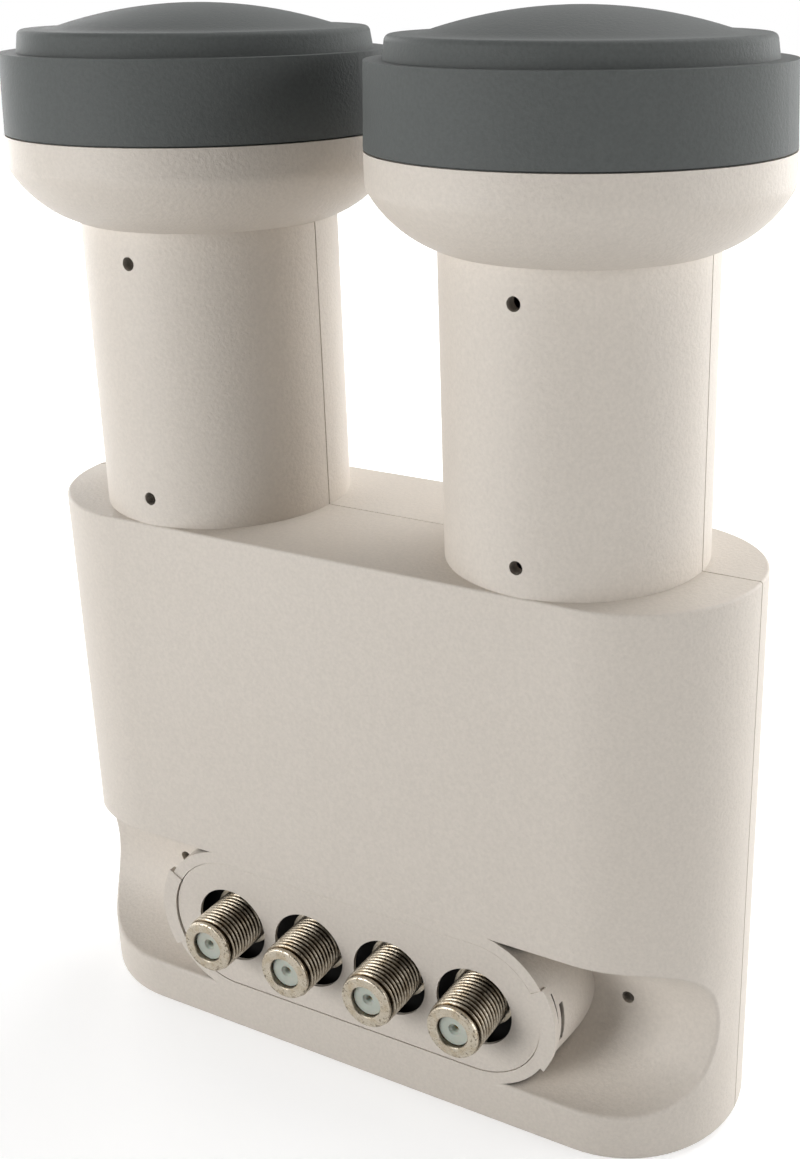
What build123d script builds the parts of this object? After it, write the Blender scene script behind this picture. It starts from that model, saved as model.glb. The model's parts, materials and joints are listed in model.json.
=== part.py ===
from build123d import *

import math
import os

# A two-feed satellite LNB with four outputs. Millimetres, +Z up, the outputs face -Y.
# The origin is the centre of the flat base. The feeds stand at X plus and minus half their spacing.

# Housing, split into a front and a rear shell at Y = 0
HOUSING_HEIGHT = 93.8
HOUSING_END_SPACING = 82.8      # between the axes of the two round ends
HOUSING_BASE_RADIUS = 19.9      # half the thickness at the base
SIDE_DRAFT = 0.2                # degrees, the housing widens upwards
FRONT_TOP_FALL = 0.7            # degrees, the top face falls away from the seam
REAR_TOP_FALL = 2.2
BASE_EDGE_RADIUS = 1.8
TOP_EDGE_RADIUS = 0.4
WALL = 2.2
LIP_LENGTH = 1.6                # the rear shell's lip reaches this far into the front shell
SEAM_GROOVE_WIDTH = 0.24
SEAM_GROOVE_DEPTH = 0.3
PRESS_RIB = 1.8                 # ribs in the rear shell that hold the chassis forward
PRESS_RIB_DROP = 7.0            # from the top of the chassis tray down to the ribs

# Necks, the standard 40 mm diameter that a dish clamp holds
FEED_SPACING = 64.94
NECK_RADIUS = 20.0
NECK_LENGTH = 46.0
NECK_SPIGOT_LENGTH = 3.0        # the reduced top of the neck, inside the collar
DRAIN_HOLE_RADIUS = 1.05
NECK_DRAIN_FROM_HOUSING = 4.1
NECK_DRAIN_FROM_COLLAR = 4.8

# Recess scooped across the front, and the oval boss that stands in it
ROW_HEIGHT = 21.75              # axis height of the connectors, boss and recess
ROW_OFFSET = 0.5                # the row stands this far right of the middle
RECESS_RADIUS = 13.25
RECESS_DRAIN_GAP = 6.9          # from the boss's end to the drain hole beside it
BOSS_RADIUS = 13.9
BOSS_DRAFT = 4.5                # degrees, the boss widens towards its foot
BOSS_WALL = 2.0
PLATE_SET_BACK = 0.1            # the plate's face lies this far behind the boss's rim
PLATE_THICKNESS = 0.6
PLATE_LEDGE = 1.1
PLATE_EDGE_CHAMFER = 0.1
PLATE_HOLE_RADIUS = 6.8
TAB_ANGLE = 62.0                # degrees round each end of the boss, the raised grip
TAB_PROUD = 0.7
TAB_FRONT = 0.25
TAB_DEPTH = 1.2
GRIP_ANGLES = (48.0, 28.0)      # the same for the grooves behind the tab, front one first
GRIP_GROOVE_WIDTH = 1.0
GRIP_GROOVE_DEPTH = 0.7
GRIP_RIDGE = 0.8                # between the two grooves

# F connectors
CONNECTORS = 4
CONNECTOR_PITCH = 15.8
CONNECTOR_REACH = 6.9           # from the housing's front face to the connector's end
THREAD_RADIUS = 4.7625          # outside of a 3/8 inch thread
THREAD_LENGTH = 10.3
THREAD_CHAMFER = 0.5
SHOULDER_RADIUS = 5.4
SHOULDER_LENGTH = 2.6
FLANGE_RADIUS = 6.2
FLANGE_LENGTH = 1.6
SPIGOT_RADIUS = 4.1
SPIGOT_LENGTH = 4.0
END_BORE_RADIUS = 2.7
INSULATOR_SET_BACK = 0.7
INSULATOR_HOLE_RADIUS = 0.75
INSULATOR_FACE_THICKNESS = 1.2
CONTACT_RADIUS = 1.3
CONTACT_BORE_RADIUS = 0.5
CONTACT_BORE_DEPTH = 6.0
PIN_RADIUS = 0.4
PIN_TAIL = 0.9                  # length of pin behind the circuit board
PAD_THICKNESS = 2.0             # the rubber pad that seals the four shoulders
PAD_EDGE_GAP = 0.4              # between the pad and the boss's wall

# Collar, the flared bowl on each neck, heights above the neck's shoulder
COLLAR_HEIGHT = 13.35
COLLAR_RADIUS = 29.7
COLLAR_BOWL_HEIGHT = 8.5        # up to the straight band
BELLY_INSET = 4.4               # from the band in to a point midway down the bowl
BELLY_HEIGHT = 3.0
COLLAR_CREASE_RADIUS = 3.0
COLLAR_WALL = 2.3
COLLAR_FLOOR = 2.2

# Cap
CAP_BAND = 11.8                 # height of the outer band
CAP_BAND_NARROWING = 0.45       # the band narrows by this much up to its top
CAP_STEP = 2.5                  # width of the step from the band in to the raised ring
CAP_RING = 3.25                 # height of the raised ring
CAP_RING_NARROWING = 0.5
CAP_RING_EDGE = 0.9
CAP_RING_FLAT = 3.0             # from the ring's top edge in to the foot of the dome
CAP_DOME_TURN = 2.8             # width over which the flat turns up into the dome
CAP_DOME = 3.55                 # height of the dome
CAP_JOINT_GAP = 0.25            # the shadow line between cap and collar
CAP_JOINT_DEPTH = 0.8
CAP_WALL = 2.0
CAP_SPIGOT_LENGTH = 4.2
CAP_SPIGOT_WALL = 1.9
SEAL_RADIUS = 0.6
SEAL_DROP = 2.2                 # from the collar's rim down to the seal's axis

# Die-cast chassis with its two waveguides
WAVEGUIDE_BORE = 9.0
WAVEGUIDE_WALL = 2.6
WAVEGUIDE_FLOOR = 3.0
WAVEGUIDE_FLANGE = 3.0
CENTRING_RING = 3.0             # thickness of the rings that centre it in the neck
LOW_RING_RISE = 7.2             # from the housing's top up to the lower ring
HIGH_RING_DROP = 13.8           # from the neck's shoulder down to the upper ring
WEB = 2.0
TRAY_TOP = 65.0
TRAY_DEPTH = 12.0
TRAY_WALL = 2.0
TRAY_CORNER_RADIUS = 4.0
LEDGE_WIDTH = 4.2
LEDGE_DEPTH = 5.1
UPPER_WEB_DROP = 5.8            # from the housing's top down to the upper web
UPPER_WEB_EDGE = 6.0            # the upper web reaches this far beyond the waveguides

# Circuit board, shield cover and their screws
BOARD_THICKNESS = 1.6
COVER_THICKNESS = 1.6
COVER_RIB = 1.6
SCREW_RADIUS = 1.25
SCREW_HEAD_RADIUS = 2.3
SCREW_HEAD_HEIGHT = 1.5
SCREW_RECESS_RADIUS = 0.9
SCREW_RECESS_DEPTH = 0.8
SCREW_LENGTH = 9.0

# Probes, bent wires from the board up into the waveguides
PROBE_RADIUS = 0.55
PROBE_REACH = 7.5               # above the waveguide's floor
PROBE_STAND_OFF = 1.4           # from the board's back to the wire's axis
PROBE_DROP = 11.0               # from the waveguide's floor down to the board's hole
PROBE_BEND_RADIUS = 1.2
PROBE_TAIL = 0.9
BUSH_RADIUS = 1.5

# Feed horns, a short pipe with two choke rings that step up outwards
HORN_FLANGE = 2.6
HORN_PIPE_RISE = 3.3
HORN_SPIGOT_WALL = 1.6
INNER_CHOKE_RADIUS = 18.6
INNER_CHOKE_RISE = 6.8
OUTER_CHOKE_RISE = 10.8
CHOKE_WALL = 1.4
HORN_SCREWS = 4                 # on each horn
HORN_SCREW_LENGTH = 7.0

# Clearances
FIT = 0.1                       # between pieces that seat in each other
SLIP = 0.2                      # between pieces that slide together when assembled
THREAD_FIT = 0.05               # between a screw and its hole
TRAY_CLEARANCE = 0.35           # between the chassis and the shells
BLOCK_CLEARANCE = 1.2           # round the chassis block, inside the boss
CHOKE_CLEARANCE = 0.6           # between the outer choke ring and the cap

FEEDS = {"left": -FEED_SPACING / 2, "right": FEED_SPACING / 2}
NECK_TOP = HOUSING_HEIGHT + NECK_LENGTH
NECK_SPIGOT_RADIUS = NECK_RADIUS - WALL / 2
NECK_SPIGOT_TOP = NECK_TOP + NECK_SPIGOT_LENGTH
ROW_SPACING = (CONNECTORS - 1) * CONNECTOR_PITCH
FRONT_FACE = -HOUSING_BASE_RADIUS - ROW_HEIGHT * math.tan(math.radians(SIDE_DRAFT))
PLATE_FRONT = FRONT_FACE + PLATE_SET_BACK
PLATE_BACK = PLATE_FRONT + PLATE_THICKNESS
BOSS_DEPTH = RECESS_RADIUS + WALL / 2
RECESS_RIM_RADIUS = BOSS_RADIUS - RECESS_RADIUS
BOSS_BORE_RADIUS = BOSS_RADIUS - BOSS_WALL
RECESS_DRAIN = ROW_SPACING / 2 + BOSS_RADIUS + RECESS_DRAIN_GAP
CONNECTOR_END = FRONT_FACE - CONNECTOR_REACH
CONNECTOR_LENGTH = THREAD_LENGTH + SHOULDER_LENGTH + FLANGE_LENGTH + SPIGOT_LENGTH
BLOCK_FACE = CONNECTOR_END + CONNECTOR_LENGTH - SPIGOT_LENGTH
BLOCK_RADIUS = BOSS_BORE_RADIUS - PLATE_LEDGE - BLOCK_CLEARANCE
WEB_FRONT = FRONT_FACE + RECESS_RADIUS + WALL + TRAY_CLEARANCE
WEB_BACK = WEB_FRONT + WEB
BOARD_FRONT = WEB_BACK + LEDGE_DEPTH
BOARD_BACK = BOARD_FRONT + BOARD_THICKNESS
TRAY_BOTTOM = WALL + FIT
TRAY_BACK = WEB_FRONT + TRAY_DEPTH
COVER_BACK = TRAY_BACK + COVER_THICKNESS
CAVITY_END = math.sqrt((HOUSING_BASE_RADIUS - WALL) ** 2 - COVER_BACK ** 2)
TRAY_HALF_WIDTH = HOUSING_END_SPACING / 2 + CAVITY_END - TRAY_CLEARANCE
WAVEGUIDE_RADIUS = WAVEGUIDE_BORE + WAVEGUIDE_WALL
WAVEGUIDE_FOOT = TRAY_TOP + WAVEGUIDE_FLOOR
PROBE_HEIGHT = WAVEGUIDE_FOOT - PROBE_DROP
PROBE_OFFSET = BOARD_BACK + PROBE_STAND_OFF
COLLAR_RIM = NECK_TOP + COLLAR_HEIGHT
COLLAR_FLOOR_BOTTOM = NECK_SPIGOT_TOP + FIT
COLLAR_FLOOR_TOP = COLLAR_FLOOR_BOTTOM + COLLAR_FLOOR
COLLAR_BORE_RADIUS = COLLAR_RADIUS - COLLAR_WALL
BELLY_RADIUS = COLLAR_RADIUS - BELLY_INSET
CAP_BAND_TOP = COLLAR_RIM + CAP_BAND
CAP_RING_TOP = CAP_BAND_TOP + CAP_RING
CAP_SHOULDER_RADIUS = COLLAR_RADIUS - CAP_BAND_NARROWING
CAP_RING_FOOT_RADIUS = CAP_SHOULDER_RADIUS - CAP_STEP
CAP_RING_RADIUS = CAP_RING_FOOT_RADIUS - CAP_RING_NARROWING
CAP_SPIGOT_RADIUS = COLLAR_BORE_RADIUS - FIT
SEAL_SEAT_RADIUS = COLLAR_BORE_RADIUS - 2 * SEAL_RADIUS - THREAD_FIT
HORN_SEAT = COLLAR_FLOOR_TOP + HORN_FLANGE
HORN_SPIGOT_RADIUS = WAVEGUIDE_BORE + HORN_SPIGOT_WALL
HORN_SCREW_CIRCLE = (HORN_SPIGOT_RADIUS + INNER_CHOKE_RADIUS - CHOKE_WALL) / 2
OUTER_CHOKE_RADIUS = CAP_SPIGOT_RADIUS - CAP_SPIGOT_WALL - CHOKE_CLEARANCE


def facing_front(depth, x=ROW_OFFSET, height=ROW_HEIGHT):
    """A plane at Y = depth, centred on the row, whose normal points back into the part."""
    return Plane(origin=(x, depth, height), x_dir=(-1, 0, 0), z_dir=(0, 1, 0))


def slot(radius, spacing=ROW_SPACING):
    return SlotCenterToCenter(spacing, 2 * radius)


def block(low, high):
    """An upright box between two opposite corners."""
    size = [b - a for a, b in zip(low, high)]
    middle = [(a + b) / 2 for a, b in zip(low, high)]
    return Pos(*middle) * Box(*size)


def pillar(x, y, bottom, top, radius):
    """An upright cylinder."""
    return Pos(x, y, (bottom + top) / 2) * Cylinder(radius, top - bottom)


def across(x, z, radius, low_y, high_y):
    """A cylinder that lies front to back."""
    return Pos(x, (low_y + high_y) / 2, z) * Rot(90, 0, 0) * Cylinder(radius, high_y - low_y)


def side_outline(inset):
    """The housing seen from its end, with the two top faces that fall away from the seam."""
    reach = 2 * HOUSING_BASE_RADIUS
    top = HOUSING_HEIGHT - inset
    front_top = top - reach * math.tan(math.radians(FRONT_TOP_FALL))
    rear_top = top - reach * math.tan(math.radians(REAR_TOP_FALL))
    corners = [(-reach, inset), (reach, inset), (reach, rear_top), (0, top), (-reach, front_top)]
    return make_face(Plane.YZ * Polyline(*corners, close=True))


def housing_block(inset):
    """The flat round-ended housing, shrunk by inset on every side."""
    plan = slot(HOUSING_BASE_RADIUS - inset, HOUSING_END_SPACING)
    column = extrude(Plane.XY * plan, HOUSING_HEIGHT + WALL, taper=-SIDE_DRAFT)
    body = column & extrude(side_outline(inset), HOUSING_END_SPACING, both=True)
    if inset < BASE_EDGE_RADIUS:
        body = fillet(body.edges().group_by(Axis.Z)[0], BASE_EDGE_RADIUS - inset)
    if inset < TOP_EDGE_RADIUS:
        tops = [f for f in body.faces() if f.normal_at().Z > 0.9]
        rims = [e for f in tops for e in f.edges() if abs(e.center().Y) > WALL]
        body = fillet(rims, TOP_EDGE_RADIUS - inset)
    return body


def envelope(inset, neck_top=NECK_TOP):
    """The whole moulded outside, housing and necks, shrunk by inset."""
    body = housing_block(inset)
    for x in FEEDS.values():
        body += pillar(x, 0, HOUSING_HEIGHT - 3 * WALL, neck_top, NECK_RADIUS - inset)
    return body


def slab(low_y, high_y):
    """Everything between two upright planes across the part."""
    reach = 2 * FEED_SPACING
    return block((-reach, low_y, -reach), (reach, high_y, 2 * reach))


def recess(inset):
    """The round scoop across the front, grown by inset."""
    scoop = Cylinder(RECESS_RADIUS + inset, 2 * HOUSING_END_SPACING)
    return Pos(0, FRONT_FACE, ROW_HEIGHT) * Rot(0, 90, 0) * scoop


def boss():
    return extrude(facing_front(FRONT_FACE) * slot(BOSS_RADIUS), BOSS_DEPTH, taper=-BOSS_DRAFT)


def boss_bore():
    """The seat of the plate, and the narrower way behind it."""
    seat = extrude(facing_front(FRONT_FACE - WALL) * slot(BOSS_BORE_RADIUS), WALL + PLATE_BACK - FRONT_FACE)
    way = extrude(facing_front(PLATE_BACK) * slot(BOSS_BORE_RADIUS - PLATE_LEDGE), BOSS_DEPTH + WALL)
    return seat + way


def end_band(depth, length, inner, outer, angle):
    """A stretch of oval tube, kept only within an angle round the two ends of the boss."""
    reach = 2 * BOSS_RADIUS
    rise = reach * math.tan(math.radians(angle / 2))
    wedges = Sketch()
    for side in (-1, 1):
        near = side * ROW_SPACING / 2
        far = near + side * reach
        wedges += make_face(Polyline((near, 0), (far, -side * rise), (far, side * rise), close=True))
    return extrude(facing_front(depth) * ((slot(outer) - slot(inner)) & wedges), length)


def grip_grooves():
    """The grooves behind each end tab, for a fingernail or a cover's catch."""
    depth = FRONT_FACE - TAB_FRONT + TAB_DEPTH
    grooves = []
    inner, outer = BOSS_RADIUS - GRIP_GROOVE_DEPTH, BOSS_RADIUS + BOSS_WALL
    for turn, angle in enumerate(GRIP_ANGLES):
        start = depth + turn * (GRIP_GROOVE_WIDTH + GRIP_RIDGE)
        grooves.append(end_band(start, GRIP_GROOVE_WIDTH, inner, outer, angle))
    return grooves


def scooped_outside():
    """The outside with the recess cut and its rim softened, and the boss back in its middle."""
    body = envelope(0)
    cut = body - recess(0)
    rim = [e for e in new_edges(body, recess(0), combined=cut) if e.center().Y < 0]
    return fillet(rim, RECESS_RIM_RADIUS) + (body & boss())


def shell_blank():
    """Both shells in one, hollow, with the spigots on the necks."""
    body = scooped_outside()
    for x in FEEDS.values():
        body += pillar(x, 0, NECK_TOP - WALL, NECK_SPIGOT_TOP, NECK_SPIGOT_RADIUS)
    return body - (envelope(WALL, NECK_SPIGOT_TOP + WALL) - recess(WALL) - boss())


def seam_groove():
    """The fine line where the shells meet."""
    band = envelope(0) - envelope(SEAM_GROOVE_DEPTH)
    return band & slab(-SEAM_GROOVE_WIDTH / 2, SEAM_GROOVE_WIDTH / 2)


def lip_core(clearance):
    """What the rear shell's lip fills, out to the middle of the wall less a clearance."""
    return envelope(WALL / 2 + clearance, NECK_TOP - WALL - clearance)


def drain_holes():
    """Holes through the wall, low in the recess and in the front of each neck."""
    neck_heights = (HOUSING_HEIGHT + NECK_DRAIN_FROM_HOUSING, NECK_TOP - NECK_DRAIN_FROM_COLLAR)
    sites = [(x, z) for x in FEEDS.values() for z in neck_heights]
    sites += [(ROW_OFFSET + side * RECESS_DRAIN, ROW_HEIGHT) for side in (-1, 1)]
    return [across(x, z, DRAIN_HOLE_RADIUS, -NECK_RADIUS - WALL, -WALL) for x, z in sites]


def front_shell(blank, groove):
    body = blank & slab(-FEED_SPACING, 0)
    tab_start = FRONT_FACE - TAB_FRONT
    body += end_band(tab_start, TAB_DEPTH, BOSS_BORE_RADIUS, BOSS_RADIUS + TAB_PROUD, TAB_ANGLE)
    body -= boss_bore()
    for cut in grip_grooves() + drain_holes():
        body -= cut
    body -= lip_core(-FIT / 2) & slab(-LIP_LENGTH, WALL)
    return body - groove


def rear_shell(blank, groove):
    body = blank & slab(0, FEED_SPACING)
    hollow = envelope(WALL, NECK_SPIGOT_TOP + WALL)
    lip = (lip_core(FIT / 2) - hollow) & slab(-LIP_LENGTH + FIT, LIP_LENGTH)
    body += lip
    for x in FEEDS.values():
        low = (x - PRESS_RIB / 2, COVER_BACK + SLIP, WALL / 2)
        high = (x + PRESS_RIB / 2, HOUSING_BASE_RADIUS - WALL / 2, TRAY_TOP - PRESS_RIB_DROP)
        body += block(low, high)
    return body - groove


def connector_places():
    return [ROW_OFFSET + (i - (CONNECTORS - 1) / 2) * CONNECTOR_PITCH for i in range(CONNECTORS)]


def along_connector(x, start, length, radius):
    """A cylinder on a connector's axis, start and length measured back from the connector's end."""
    return across(x, ROW_HEIGHT, radius, CONNECTOR_END + start, CONNECTOR_END + start + length)


def connector_plate():
    rim = BOSS_BORE_RADIUS - FIT
    body = extrude(facing_front(PLATE_FRONT) * slot(rim), PLATE_THICKNESS)
    body = chamfer(body.faces().sort_by(Axis.Y)[0].edges(), PLATE_EDGE_CHAMFER)
    for x in connector_places():
        body -= along_connector(x, 0, BOSS_DEPTH, PLATE_HOLE_RADIUS)
    return body


def sealing_pad():
    """The rubber pad inside the boss, seated on the connectors' flanges round their shoulders."""
    back = CONNECTOR_END + THREAD_LENGTH + SHOULDER_LENGTH
    rim = BOSS_BORE_RADIUS - PLATE_LEDGE - PAD_EDGE_GAP
    body = extrude(facing_front(back - PAD_THICKNESS) * slot(rim), PAD_THICKNESS)
    for x in connector_places():
        body -= along_connector(x, 0, BOSS_DEPTH, SHOULDER_RADIUS + THREAD_FIT)
    return body


def f_connector(x):
    body = along_connector(x, 0, THREAD_LENGTH, THREAD_RADIUS)
    body = chamfer(body.edges().sort_by(Axis.Y)[0], THREAD_CHAMFER)
    body += along_connector(x, THREAD_LENGTH, SHOULDER_LENGTH, SHOULDER_RADIUS)
    start = THREAD_LENGTH + SHOULDER_LENGTH
    body += along_connector(x, start, FLANGE_LENGTH, FLANGE_RADIUS)
    body += along_connector(x, start + FLANGE_LENGTH, SPIGOT_LENGTH, SPIGOT_RADIUS)
    return body - along_connector(x, 0, CONNECTOR_LENGTH, END_BORE_RADIUS)


def connector_insulator(x):
    length = CONNECTOR_LENGTH - INSULATOR_SET_BACK
    body = along_connector(x, INSULATOR_SET_BACK, length, END_BORE_RADIUS - THREAD_FIT)
    body -= along_connector(x, INSULATOR_SET_BACK, length, INSULATOR_HOLE_RADIUS)
    start = INSULATOR_SET_BACK + INSULATOR_FACE_THICKNESS
    return body - along_connector(x, start, length, CONTACT_RADIUS + THREAD_FIT)


def connector_contact(x):
    start = INSULATOR_SET_BACK + INSULATOR_FACE_THICKNESS + FIT
    body = along_connector(x, start, CONNECTOR_LENGTH - start, CONTACT_RADIUS)
    tail = BOARD_BACK + PIN_TAIL - CONNECTOR_END
    body += along_connector(x, start, tail - start, PIN_RADIUS)
    return body - along_connector(x, start, CONTACT_BORE_DEPTH, CONTACT_BORE_RADIUS)


def tray_plan(inset, depth):
    """The tray's outline seen from the front, shrunk by inset, on the plane Y = depth."""
    height = TRAY_TOP - TRAY_BOTTOM
    corner = max(TRAY_CORNER_RADIUS - inset, THREAD_CHAMFER)
    outline = RectangleRounded(2 * (TRAY_HALF_WIDTH - inset), height - 2 * inset, corner)
    return facing_front(depth, 0, (TRAY_TOP + TRAY_BOTTOM) / 2) * outline


def cover_screw_places():
    inset = TRAY_WALL + LEDGE_WIDTH / 2
    x = TRAY_HALF_WIDTH - inset
    low, high = TRAY_BOTTOM + inset, TRAY_TOP - inset
    middle = (low + high) / 2
    return [(-x, low), (0, low), (x, low), (-x, middle), (x, middle), (-x, high), (0, high), (x, high)]


def tray():
    body = extrude(tray_plan(0, WEB_FRONT), TRAY_DEPTH)
    body -= extrude(tray_plan(TRAY_WALL + LEDGE_WIDTH, WEB_BACK), TRAY_DEPTH)
    body -= extrude(tray_plan(TRAY_WALL, BOARD_FRONT), TRAY_DEPTH)
    for x, z in cover_screw_places():
        body -= across(x, z, SCREW_RADIUS + THREAD_FIT, WEB_BACK, TRAY_BACK)
    return body


def waveguide(x):
    """A round waveguide with its closed foot, its centring rings and its top flange."""
    ring = NECK_RADIUS - WALL - SLIP
    body = pillar(x, 0, TRAY_TOP, NECK_SPIGOT_TOP, WAVEGUIDE_RADIUS)
    for z in (HOUSING_HEIGHT + LOW_RING_RISE, NECK_TOP - HIGH_RING_DROP):
        body += pillar(x, 0, z, z + CENTRING_RING, ring)
    return body + pillar(x, 0, NECK_SPIGOT_TOP - WAVEGUIDE_FLANGE, NECK_SPIGOT_TOP, ring)


def horn_screw_places(x):
    turns = [math.radians(45 + i * 360 / HORN_SCREWS) for i in range(HORN_SCREWS)]
    return [(x + HORN_SCREW_CIRCLE * math.cos(a), HORN_SCREW_CIRCLE * math.sin(a)) for a in turns]


def chassis():
    body = tray()
    half = FEED_SPACING / 2 + WAVEGUIDE_RADIUS + UPPER_WEB_EDGE
    web_top = HOUSING_HEIGHT - UPPER_WEB_DROP
    body += block((-half, WEB_FRONT, TRAY_TOP - TRAY_WALL), (half, WEB_BACK, web_top))
    body += extrude(facing_front(BLOCK_FACE) * slot(BLOCK_RADIUS), WEB_BACK - BLOCK_FACE)
    for x in connector_places():
        body -= along_connector(x, 0, BOARD_FRONT - CONNECTOR_END, SPIGOT_RADIUS + THREAD_FIT)
    for x in FEEDS.values():
        body += waveguide(x)
        body -= pillar(x, 0, WAVEGUIDE_FOOT, NECK_SPIGOT_TOP + WALL, WAVEGUIDE_BORE)
        body -= pillar(x, PROBE_OFFSET, PROBE_HEIGHT, WAVEGUIDE_FOOT + WEB, BUSH_RADIUS + THREAD_FIT)
        for sx, sy in horn_screw_places(x):
            body -= pillar(sx, sy, NECK_TOP - WALL, NECK_SPIGOT_TOP + WALL, SCREW_RADIUS + THREAD_FIT)
    return body


def circuit_board():
    body = extrude(tray_plan(TRAY_WALL + FIT, BOARD_FRONT), BOARD_THICKNESS)
    holes = [(x, z, SCREW_RADIUS + SLIP) for x, z in cover_screw_places()]
    holes += [(x, ROW_HEIGHT, PIN_RADIUS + FIT) for x in connector_places()]
    holes += [(x, PROBE_HEIGHT, PROBE_RADIUS + FIT) for x in FEEDS.values()]
    for x, z, radius in holes:
        body -= across(x, z, radius, BOARD_FRONT - WALL, BOARD_BACK + WALL)
    return body


def shield_cover():
    body = extrude(tray_plan(0, TRAY_BACK), COVER_THICKNESS)
    skirt_start = BOARD_BACK + FIT
    skirt = extrude(tray_plan(TRAY_WALL + FIT, skirt_start), TRAY_BACK - skirt_start)
    skirt -= extrude(tray_plan(TRAY_WALL + LEDGE_WIDTH, skirt_start), TRAY_BACK - skirt_start)
    body += skirt
    for x in (-CONNECTOR_PITCH, CONNECTOR_PITCH):
        low = (x - COVER_RIB / 2, skirt_start, TRAY_BOTTOM + 2 * TRAY_WALL)
        high = (x + COVER_RIB / 2, TRAY_BACK + COVER_THICKNESS / 2, TRAY_TOP - 2 * TRAY_WALL)
        body += block(low, high)
    for x, z in cover_screw_places():
        body -= across(x, z, SCREW_RADIUS + SLIP, BOARD_BACK, COVER_BACK + WALL)
    for x in FEEDS.values():
        body -= pillar(x, PROBE_OFFSET, PROBE_HEIGHT - WALL, TRAY_TOP - TRAY_WALL, BUSH_RADIUS + SLIP)
    return body


def screw(length):
    """A pan-head screw that points down, its head's seat at the origin."""
    head = Pos(0, 0, SCREW_HEAD_HEIGHT / 2) * Cylinder(SCREW_HEAD_RADIUS, SCREW_HEAD_HEIGHT)
    head = fillet(head.edges().sort_by(Axis.Z)[-1], SCREW_HEAD_HEIGHT / 3)
    body = head + Pos(0, 0, -length / 2) * Cylinder(SCREW_RADIUS, length)
    hole = SCREW_HEAD_HEIGHT - SCREW_RECESS_DEPTH / 2
    return body - Pos(0, 0, hole) * Cylinder(SCREW_RECESS_RADIUS, SCREW_RECESS_DEPTH)


def cover_screws():
    one = Rot(-90, 0, 0) * screw(SCREW_LENGTH)
    return Compound([Pos(x, COVER_BACK, z) * one for x, z in cover_screw_places()])


def horn_screws():
    one = screw(HORN_SCREW_LENGTH)
    places = [place for x in FEEDS.values() for place in horn_screw_places(x)]
    return Compound([Pos(x, y, HORN_SEAT) * one for x, y in places])


def feed_horn(x):
    """The cast horn, seated on the collar's floor, with its spigot down to the waveguide."""
    body = pillar(x, 0, COLLAR_FLOOR_TOP, HORN_SEAT, OUTER_CHOKE_RADIUS)
    for radius, rise in ((INNER_CHOKE_RADIUS, INNER_CHOKE_RISE), (OUTER_CHOKE_RADIUS, OUTER_CHOKE_RISE)):
        ring = pillar(x, 0, HORN_SEAT, HORN_SEAT + rise, radius)
        body += ring - pillar(x, 0, HORN_SEAT, HORN_SEAT + rise, radius - CHOKE_WALL)
    pipe_top = HORN_SEAT + HORN_PIPE_RISE
    body += pillar(x, 0, NECK_SPIGOT_TOP, pipe_top, HORN_SPIGOT_RADIUS)
    for sx, sy in horn_screw_places(x):
        body -= pillar(sx, sy, COLLAR_FLOOR_TOP, HORN_SEAT, SCREW_RADIUS + SLIP)
    return body - pillar(x, 0, NECK_SPIGOT_TOP, pipe_top, WAVEGUIDE_BORE)


def section_line(*points):
    """A run of straight lines through points given as radius and height."""
    return Polyline(*[(r, 0, z) for r, z in points])


def rings_at(body, radius, height):
    """The round edges of one radius at one height."""
    circles = body.edges().filter_by(GeomType.CIRCLE)
    return [e for e in circles if abs(e.radius - radius) < FIT / 2 and abs(e.center().Z - height) < FIT / 2]


def feed_collar(x):
    """The flared bowl, with a socket for the neck below its floor."""
    band_bottom = NECK_TOP + COLLAR_BOWL_HEIGHT
    belly = (BELLY_RADIUS, 0, NECK_TOP + BELLY_HEIGHT)
    bowl = ThreePointArc((NECK_RADIUS, 0, NECK_TOP), belly, (COLLAR_RADIUS, 0, band_bottom))
    socket = NECK_SPIGOT_RADIUS + FIT
    hole = HORN_SPIGOT_RADIUS + FIT
    rest = section_line(
        (COLLAR_RADIUS, band_bottom), (COLLAR_RADIUS, COLLAR_RIM), (COLLAR_BORE_RADIUS, COLLAR_RIM),
        (COLLAR_BORE_RADIUS, band_bottom), (BELLY_RADIUS, COLLAR_FLOOR_TOP), (hole, COLLAR_FLOOR_TOP),
        (hole, COLLAR_FLOOR_BOTTOM), (socket, COLLAR_FLOOR_BOTTOM), (socket, NECK_TOP),
        (NECK_RADIUS, NECK_TOP),
    )
    body = revolve(make_face(bowl + rest), Axis.Z)
    body = Pos(x, 0, 0) * fillet(rings_at(body, COLLAR_RADIUS, band_bottom), COLLAR_CREASE_RADIUS)
    for sx, sy in horn_screw_places(x):
        body -= pillar(sx, sy, NECK_TOP, COLLAR_FLOOR_TOP, SCREW_RADIUS + SLIP)
    return body


def dome_line(drop):
    """The cap's domed top from its axis to the foot, an arc that turns back into the flat."""
    foot = CAP_RING_RADIUS - CAP_RING_FLAT
    flat, top = CAP_RING_TOP - drop, CAP_RING_TOP + CAP_DOME - drop
    turn = (foot - CAP_DOME_TURN, 0, flat + CAP_DOME_TURN * CAP_DOME / foot)
    crown = TangentArc((0, 0, top), turn, tangent=(1, 0, 0))
    return crown + TangentArc((foot, 0, flat), turn, tangent=(-1, 0, 0))


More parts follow.
